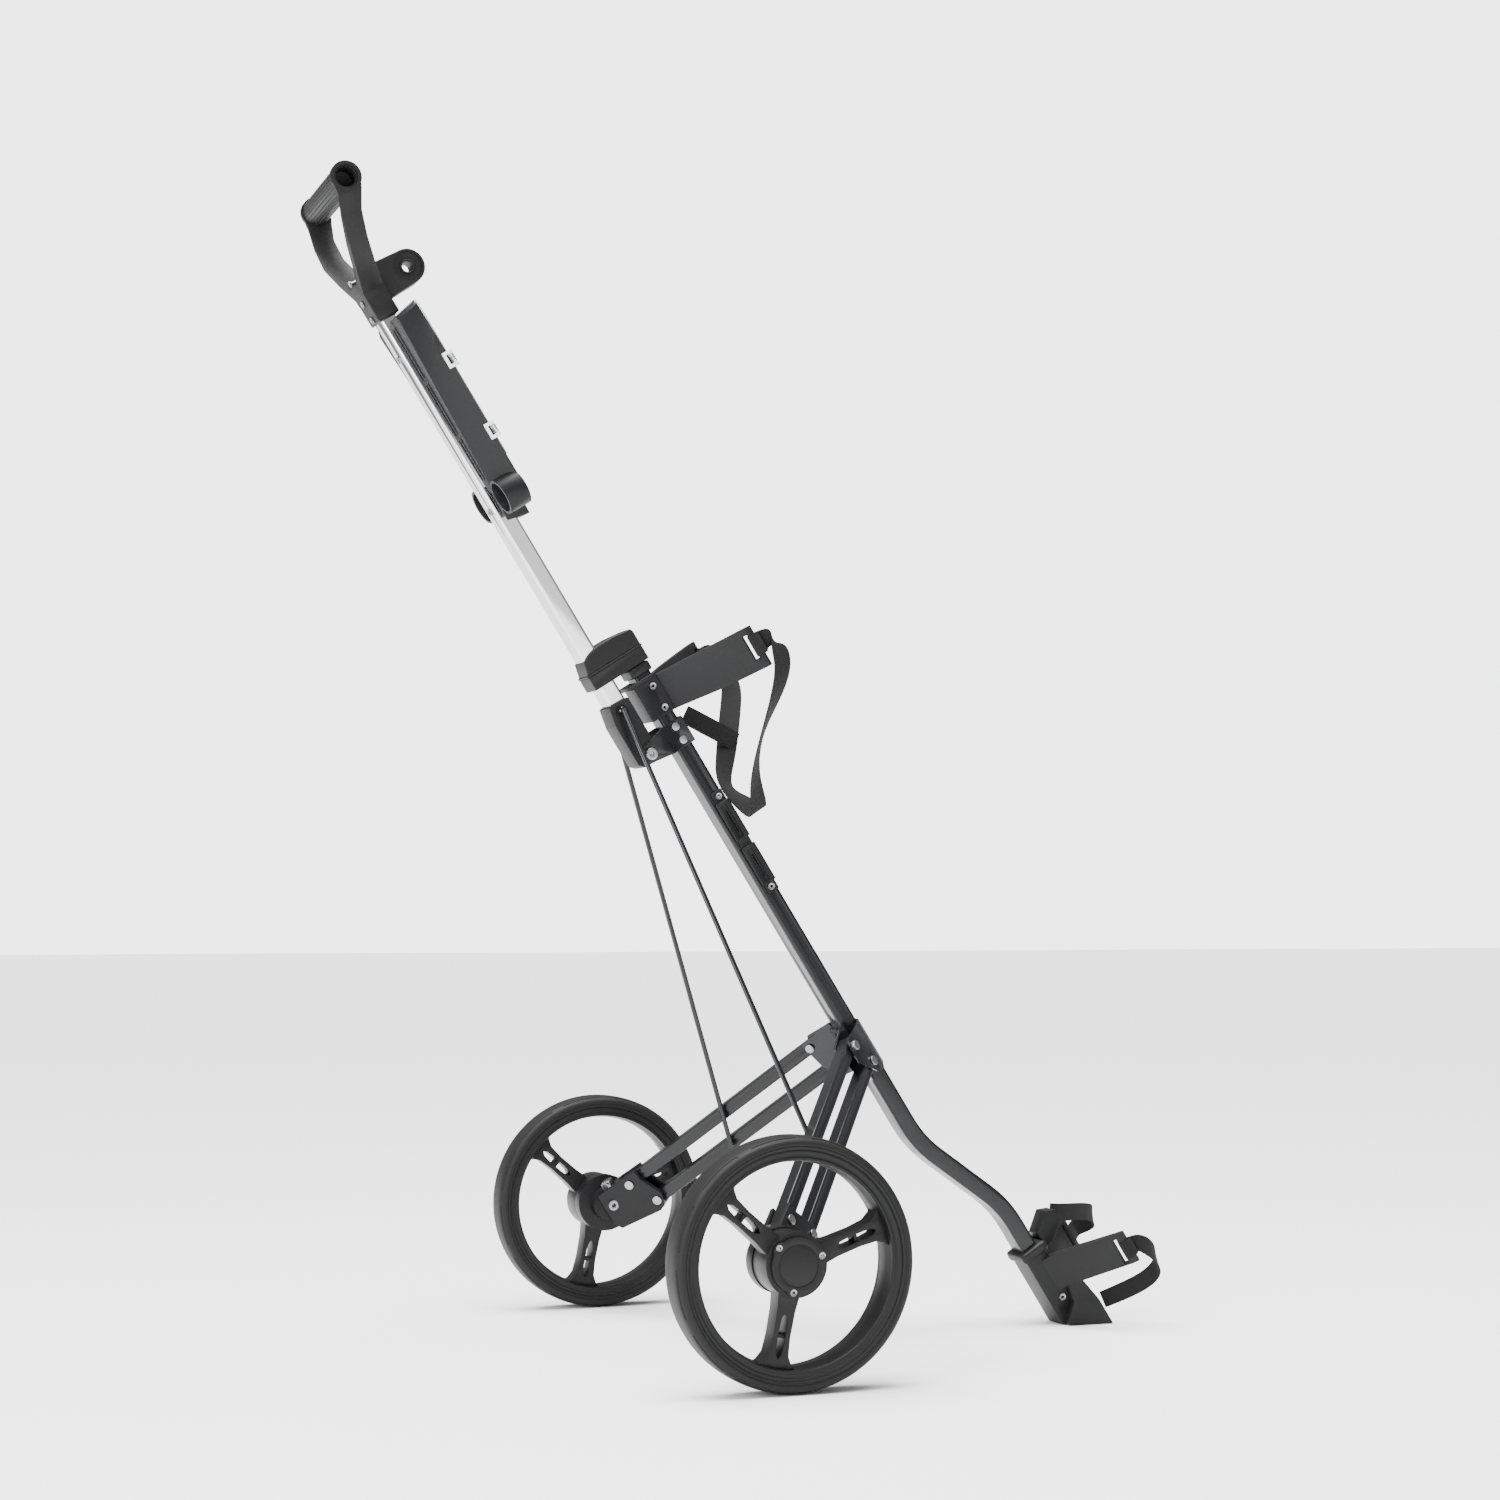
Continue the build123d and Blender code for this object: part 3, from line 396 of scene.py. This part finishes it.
# Painted highlight and painted shade: the webbing's black is lifted on the raised threads and darkened in
# the hollows between them.
shade = weave.nodes.new("ShaderNodeMath")
shade.operation = "MULTIPLY_ADD"
weave.links.new(cross.outputs[0], shade.inputs[0])
shade.inputs[1].default_value = 0.6
shade.inputs[2].default_value = 0.7
weave_light_and_shade = weave.nodes.new("ShaderNodeVectorMath")
weave_light_and_shade.operation = "SCALE"
weave.links.new(given.outputs["Colour"], weave_light_and_shade.inputs[0])
weave.links.new(shade.outputs[0], weave_light_and_shade.inputs["Scale"])
weave.links.new(weave_light_and_shade.outputs[0], result.inputs["Colour"])
weave.links.new(cross.outputs[0], result.inputs["Height"])
webbing = bpy.data.materials.new("black webbing")
webbing.use_nodes = True
cloth = webbing.node_tree.nodes["Principled BSDF"]
cloth.inputs["Roughness"].default_value = 0.8
cloth.inputs["Sheen Weight"].default_value = 0.04
cloth.inputs["Specular IOR Level"].default_value = 0.15
threads = webbing.node_tree.nodes.new("ShaderNodeGroup")
threads.node_tree = weave
threads.inputs["Colour"].default_value = (0.0100, 0.0098, 0.0100, 1)
raised = webbing.node_tree.nodes.new("ShaderNodeBump")
raised.inputs["Strength"].default_value = 0.6
raised.inputs["Distance"].default_value = 0.0003
webbing.node_tree.links.new(threads.outputs["Colour"], cloth.inputs["Base Color"])
webbing.node_tree.links.new(threads.outputs["Height"], raised.inputs["Height"])
webbing.node_tree.links.new(raised.outputs["Normal"], cloth.inputs["Normal"])


def webbing_strip(name, stations, width, thick=0.0013):
    """Flat woven band through (centre, width direction) stations, smoothed along its run."""
    centres = [Vector(centre) for centre, across in stations]
    corners, run = [], [0.0]
    for i, (centre, across) in enumerate(stations):
        along = (centres[min(i + 1, len(centres) - 1)] - centres[max(i - 1, 0)]).normalized()
        side = Vector(across)
        side = (side - along * side.dot(along)).normalized() * (width / 2)
        corners += [centres[i] - side, centres[i], centres[i] + side]
        if i:
            run.append(run[-1] + (centres[i] - centres[i - 1]).length)
    faces = []
    for i in range(len(stations) - 1):
        faces += [(3 * i, 3 * i + 1, 3 * i + 4, 3 * i + 3), (3 * i + 1, 3 * i + 2, 3 * i + 5, 3 * i + 4)]
    mesh = bpy.data.meshes.new(name)
    mesh.from_pydata(corners, [], faces)
    spread = mesh.uv_layers.new(name="webbing")
    for loop in mesh.loops:
        row, column = divmod(loop.vertex_index, 3)
        spread.data[loop.index].uv = ((column - 1) * width / 2, run[row])
    band = bpy.data.objects.new(name, mesh)
    bpy.context.scene.collection.objects.link(band)
    bpy.ops.object.select_all(action="DESELECT")
    bpy.context.view_layer.objects.active = band
    band.select_set(True)
    smooth = band.modifiers.new("smooth", "SUBSURF")
    smooth.levels = smooth.render_levels = 3
    smooth.boundary_smooth = "PRESERVE_CORNERS"
    bpy.ops.object.modifier_apply(modifier="smooth")
    thicken = band.modifiers.new("thicken", "SOLIDIFY")
    thicken.thickness = thick
    thicken.offset = 0
    bpy.ops.object.modifier_apply(modifier="thicken")
    bpy.ops.object.shade_smooth_by_angle(angle=math.radians(50))
    band.data.materials.append(webbing)
    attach(band, "frame")
    return band


SLOPE = (0.536, 0, -0.844)    # down along the frame tube
BAG_WIDTH, BASE_WIDTH = 0.024, 0.020
bag_tip = [(-0.0126, -0.0936, 0.7606), (-0.0173, -0.0971, 0.7576), (-0.0252, -0.0947, 0.7526),
           (-0.0186, -0.0816, 0.7568), (-0.0149, -0.0841, 0.7592), (-0.0094, -0.09, 0.7626),
           (-0.0043, -0.093, 0.7659)]
right_eye = [(point, SLOPE) for point in bag_tip]
left_eye = [((x, -y, z), SLOPE) for x, y, z in reversed(bag_tip)]
hanging = [((0.006, -0.094, 0.758), (0.6, 0.1, -0.8)), ((0.015, -0.090, 0.735), (0.9, 0.35, -0.1)),
           ((0.007, -0.082, 0.699), (0.7, 0.7, 0)), ((-0.005, -0.068, 0.660), (0.35, 0.95, 0)),
           ((-0.005, -0.046, 0.618), (0.6, 0.7, 0.25)), ((0.008, -0.027, 0.588), (0.85, 0.3, 0.4)),
           ((0.011, -0.021, 0.580), (0.85, 0.2, 0.5)), ((0.008, -0.016, 0.579), (0.85, 0.2, 0.5)),
           ((-0.003, -0.008, 0.590), (0.8, 0.25, 0.55)), ((-0.021, 0.012, 0.609), (0.6, 0.75, 0.2)),
           ((-0.011, 0.030, 0.636), (0.9, 0.3, 0)), ((-0.003, 0.042, 0.662), (0.9, -0.3, 0)),
           ((0.008, 0.064, 0.695), (0.9, -0.3, -0.2)), ((0.019, 0.084, 0.730), (0.8, -0.5, -0.4)),
           ((0.007, 0.094, 0.757), (0.6, -0.1, -0.8))]
bag_band = webbing_strip("bag_webbing", right_eye + hanging + left_eye, BAG_WIDTH)
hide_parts("bag_strap")
# The keeper's line is in millimetres, along and away from where it meets the strap.
keeper_line = [(-44, -2.45), (-22, -2.45), (0, -2.45), (21.8, -2.45), (25.7, 0), (21.8, 2.45), (4, 2.45),
               (-18, 2.2), (-42, -1.0)]
keeper_way = Vector((-0.9, 0, 0.43)).normalized()
keeper_across = (0.43, 0, 0.9)
keeper_start = Vector((-0.034, 0.036, 0.679))
keeper = webbing_strip("strap_keeper_loop",
                       [(keeper_start + keeper_way * (u / 1000) - Vector((0, v / 1000, 0)), keeper_across)
                        for u, v in keeper_line], BASE_WIDTH)
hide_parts("bag_strap_keeper")

# Base straps: two short lengths of the narrower webbing through the foot's small wings. One droops
# loose and the other arches over to the strap hook.
base_tip = [(0.4424, -0.0766, 0.0942), (0.4395, -0.0787, 0.0923), (0.434, -0.0775, 0.0888),
            (0.4292, -0.0727, 0.0858), (0.4349, -0.0644, 0.0894), (0.4433, -0.0722, 0.0947),
            (0.4481, -0.077, 0.0978)]
droop = [((0.467, -0.076, 0.088), (0.35, 0, -0.94)), ((0.483, -0.064, 0.068), (0.2, -0.3, -0.94)),
         ((0.476, -0.046, 0.050), (0.3, -0.4, -0.8)), ((0.454, -0.030, 0.036), (0.5, -0.3, -0.8)),
         ((0.432, -0.020, 0.026), (0.6, 0, -0.8))]
arch = [((0.465, 0.068, 0.104), (0.3, 0, -0.95)), ((0.459, 0.050, 0.118), (0, 0.2, -1)),
        ((0.431, 0.034, 0.121), (0, 0, -1)), ((0.401, 0.020, 0.122), (0, 0, -1)),
        ((0.383, 0.015, 0.124), (0, 0, -1))]
lower_band = webbing_strip("base_webbing_lower", [(p, SLOPE) for p in base_tip] + droop, BASE_WIDTH)
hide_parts("base_strap_lower")
upper_band = webbing_strip("base_webbing_upper",
                           [((x, -y, z), SLOPE) for x, y, z in base_tip] + arch, BASE_WIDTH)
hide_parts("base_strap_upper")

# Studio: a wide sheet of pale matt paper under the wheels. The world is bright where the camera sees
# it and dimmer where it lights the cart, so the black pieces stay dark.
bpy.ops.object.select_all(action="DESELECT")
bpy.ops.mesh.primitive_plane_add(size=60, location=(0, 2, -0.0005))
floor = bpy.context.object
floor.name = "floor"
paper = bpy.data.materials.new("pale floor")
paper.use_nodes = True
paper.node_tree.nodes["Principled BSDF"].inputs["Base Color"].default_value = (0.94, 0.94, 0.94, 1)
paper.node_tree.nodes["Principled BSDF"].inputs["Roughness"].default_value = 0.9
paper.node_tree.nodes["Principled BSDF"].inputs["Specular IOR Level"].default_value = 0
floor.data.materials.append(paper)
world = bpy.context.scene.world or bpy.data.worlds.new("studio")
bpy.context.scene.world = world
world.use_nodes = True
backdrop = world.node_tree.nodes["Background"]
backdrop.inputs["Color"].default_value = (1, 1, 1, 1)
seen = world.node_tree.nodes.new("ShaderNodeLightPath")
brightness = world.node_tree.nodes.new("ShaderNodeMapRange")
brightness.inputs["To Min"].default_value = 0.40
brightness.inputs["To Max"].default_value = 4.0
world.node_tree.links.new(seen.outputs["Is Camera Ray"], brightness.inputs["Value"])
world.node_tree.links.new(brightness.outputs["Result"], backdrop.inputs["Strength"])


def softbox(name, place, aim, size, power):
    """Rectangular light at a place, turned towards its aim."""
    lamp = bpy.data.lights.new(name, "AREA")
    lamp.shape = "RECTANGLE"
    lamp.size, lamp.size_y = size
    lamp.energy = power
    box = bpy.data.objects.new(name, lamp)
    box.location = place
    box.rotation_euler = (Vector(aim) - Vector(place)).to_track_quat("-Z", "Y").to_euler()
    bpy.context.scene.collection.objects.link(box)


sky = bpy.data.lights.new("even light", "SUN")
sky.energy = 8.0
sky.angle = math.radians(50)
above = bpy.data.objects.new("even light", sky)
above.rotation_euler = (math.radians(-4), math.radians(-14), 0)
bpy.context.scene.collection.objects.link(above)
softbox("left softbox", (-2.6, -1.4, 1.6), (0, 0, 0.6), (1.8, 2.4), 120)
softbox("overhead softbox", (0.4, -0.6, 3.2), (0, 0, 0.5), (2.6, 2.0), 110)
softbox("front fill", (0.8, -3.4, 1.2), (0, 0, 0.6), (1.6, 2.0), 10)

lens = bpy.data.cameras.new("camera")
lens.lens = 64.8
lens.sensor_width = 36
lens.clip_end = 50
viewer = bpy.data.objects.new("camera", lens)
viewer.location = (-1.04407, -2.80547, 0.46289)
viewer.rotation_euler = (math.radians(93.55), 0, math.radians(-20.56))
bpy.context.scene.collection.objects.link(viewer)
bpy.context.scene.camera = viewer
